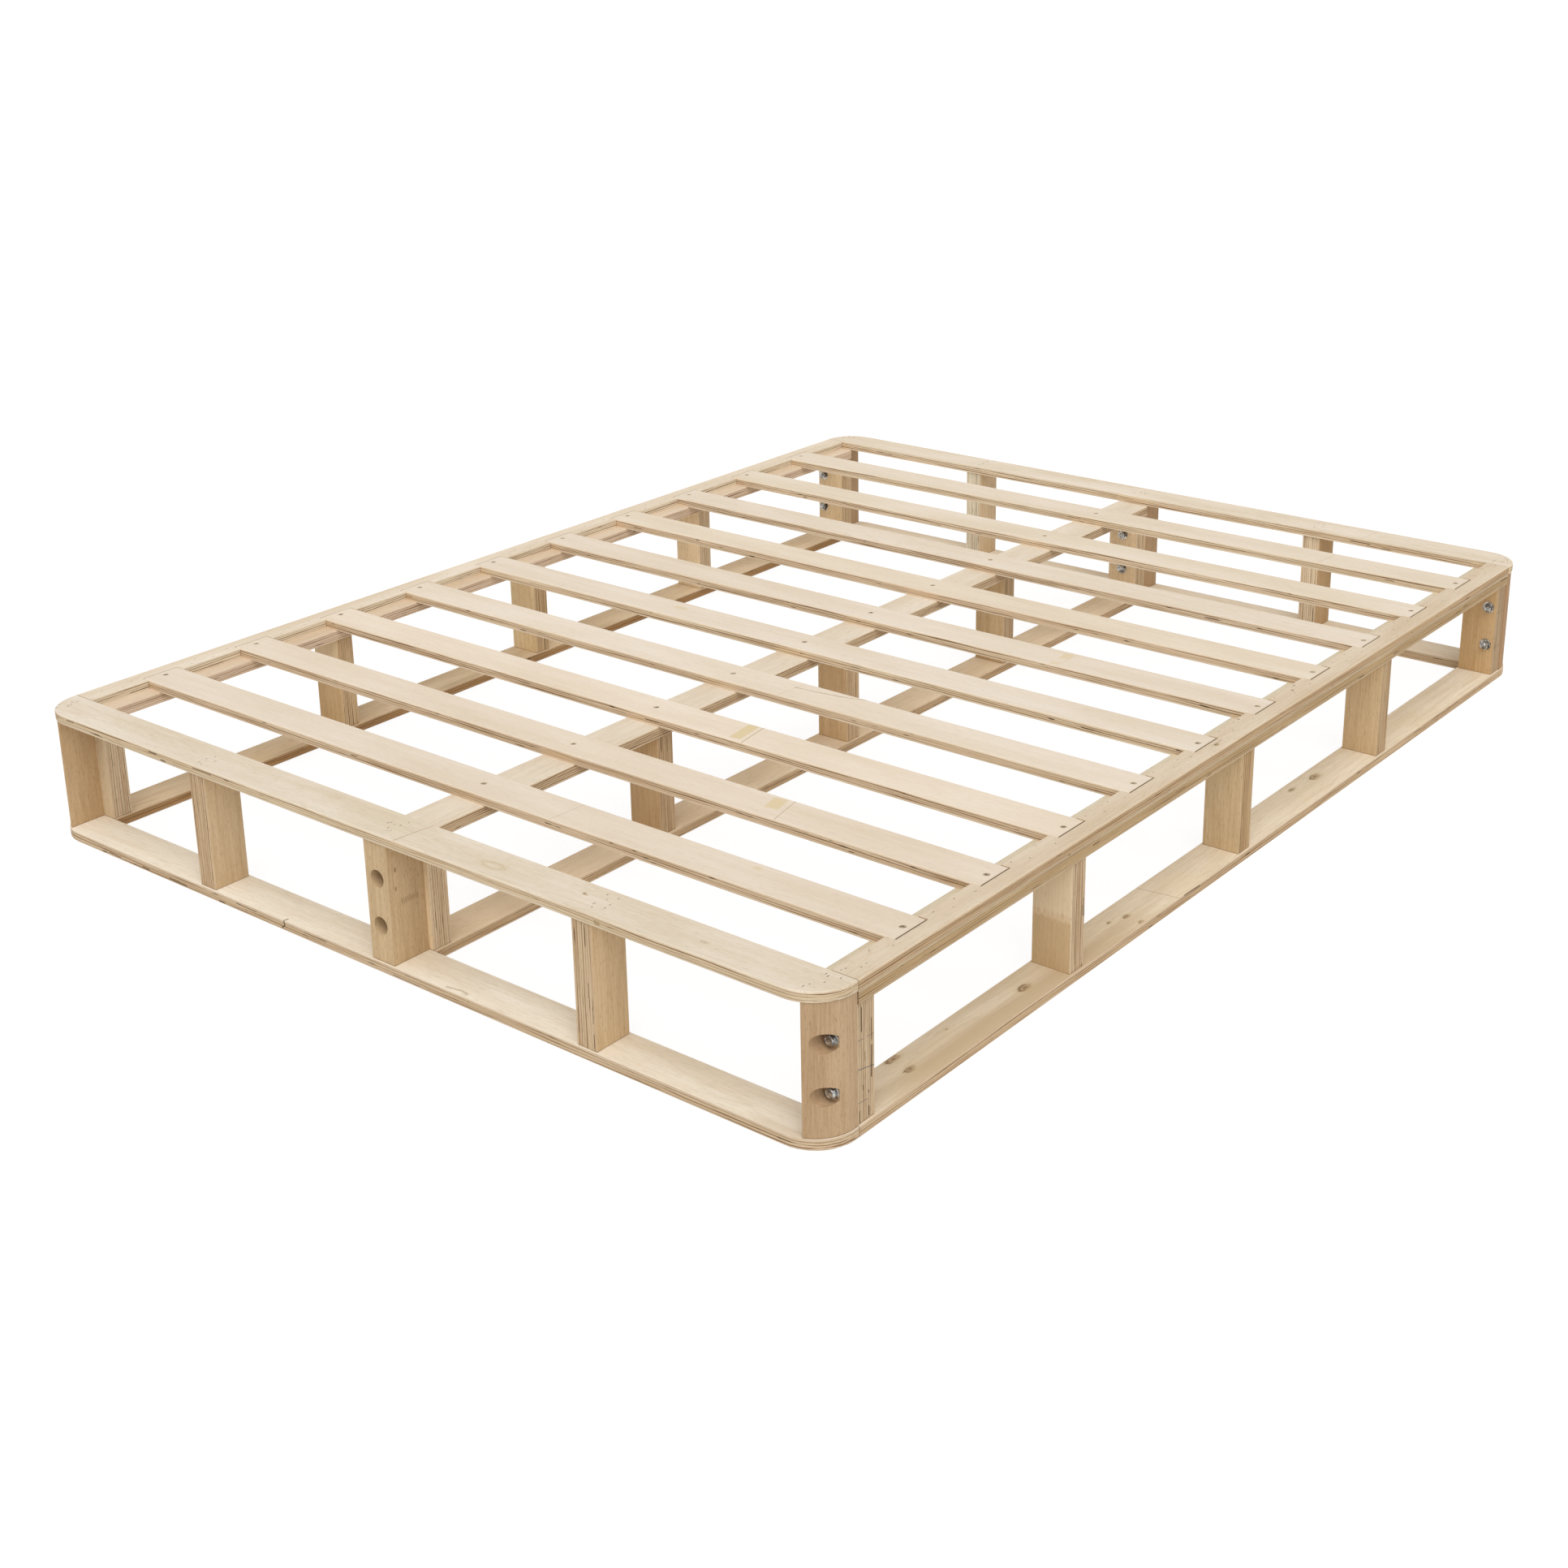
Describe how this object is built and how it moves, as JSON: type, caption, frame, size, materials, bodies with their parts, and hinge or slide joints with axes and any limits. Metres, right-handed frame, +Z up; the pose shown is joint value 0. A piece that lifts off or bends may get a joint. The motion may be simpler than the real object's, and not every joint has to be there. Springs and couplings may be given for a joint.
{
  "type": "slatted box spring",
  "caption": "Knock-down wooden foundation for a queen mattress: bolted end, side and centre frames of veneer board carry notched-in slats.",
  "frame": {"origin": "middle of the footprint, on the plane that the foundation stands on", "axes": "+X across the bed, +Y along the bed from the foot end to the head end, +Z up"},
  "size_m": [1.524, 2.032, 0.21],
  "materials": {
    "board_veneer": "raw laminated veneer board, sanded faces, ply lines on the edges",
    "slat_veneer": "raw laminated veneer slat, sanded face, long edges eased",
    "post_veneer": "raw laminated veneer post, grain upright, ply lines on two faces",
    "solid_wood": "raw solid wood, grain upright",
    "zinc_steel": "bright zinc-plated steel"
  },
  "bodies": {
    "root": {"back_bottom_board": "board_veneer", "back_centre_block": "solid_wood", "back_left_corner_block": "solid_wood", "back_left_post": "post_veneer", "back_right_corner_block": "solid_wood", "back_right_post": "post_veneer", "back_top_board": "board_veneer", "bolt_head_washers": "zinc_steel", "centre_back_end_post": "post_veneer", "centre_bottom_board": "board_veneer", "centre_front_end_post": "post_veneer", "centre_ledge_board": "board_veneer", "centre_post_1": "post_veneer", "centre_post_2": "post_veneer", "centre_post_3": "post_veneer", "front_bottom_board": "board_veneer", "front_centre_block": "solid_wood", "front_left_corner_block": "solid_wood", "front_left_post": "post_veneer", "front_right_corner_block": "solid_wood", "front_right_post": "post_veneer", "front_top_board": "board_veneer", "hex_bolts": "zinc_steel", "hex_nuts": "zinc_steel", "left_back_end_post": "post_veneer", "left_bottom_board": "board_veneer", "left_front_end_post": "post_veneer", "left_ledge_board": "board_veneer", "left_notched_strip": "board_veneer", "left_post_1": "post_veneer", "left_post_2": "post_veneer", "left_post_3": "post_veneer", "nut_washers": "zinc_steel", "right_back_end_post": "post_veneer", "right_bottom_board": "board_veneer", "right_front_end_post": "post_veneer", "right_ledge_board": "board_veneer", "right_notched_strip": "board_veneer", "right_post_1": "post_veneer", "right_post_2": "post_veneer", "right_post_3": "post_veneer", "slat_01": "slat_veneer", "slat_02": "slat_veneer", "slat_03": "slat_veneer", "slat_04": "slat_veneer", "slat_05": "slat_veneer", "slat_06": "slat_veneer", "slat_07": "slat_veneer", "slat_08": "slat_veneer", "slat_09": "slat_veneer", "slat_10": "slat_veneer", "slat_screws": "zinc_steel"}
  },
  "joints": []
}
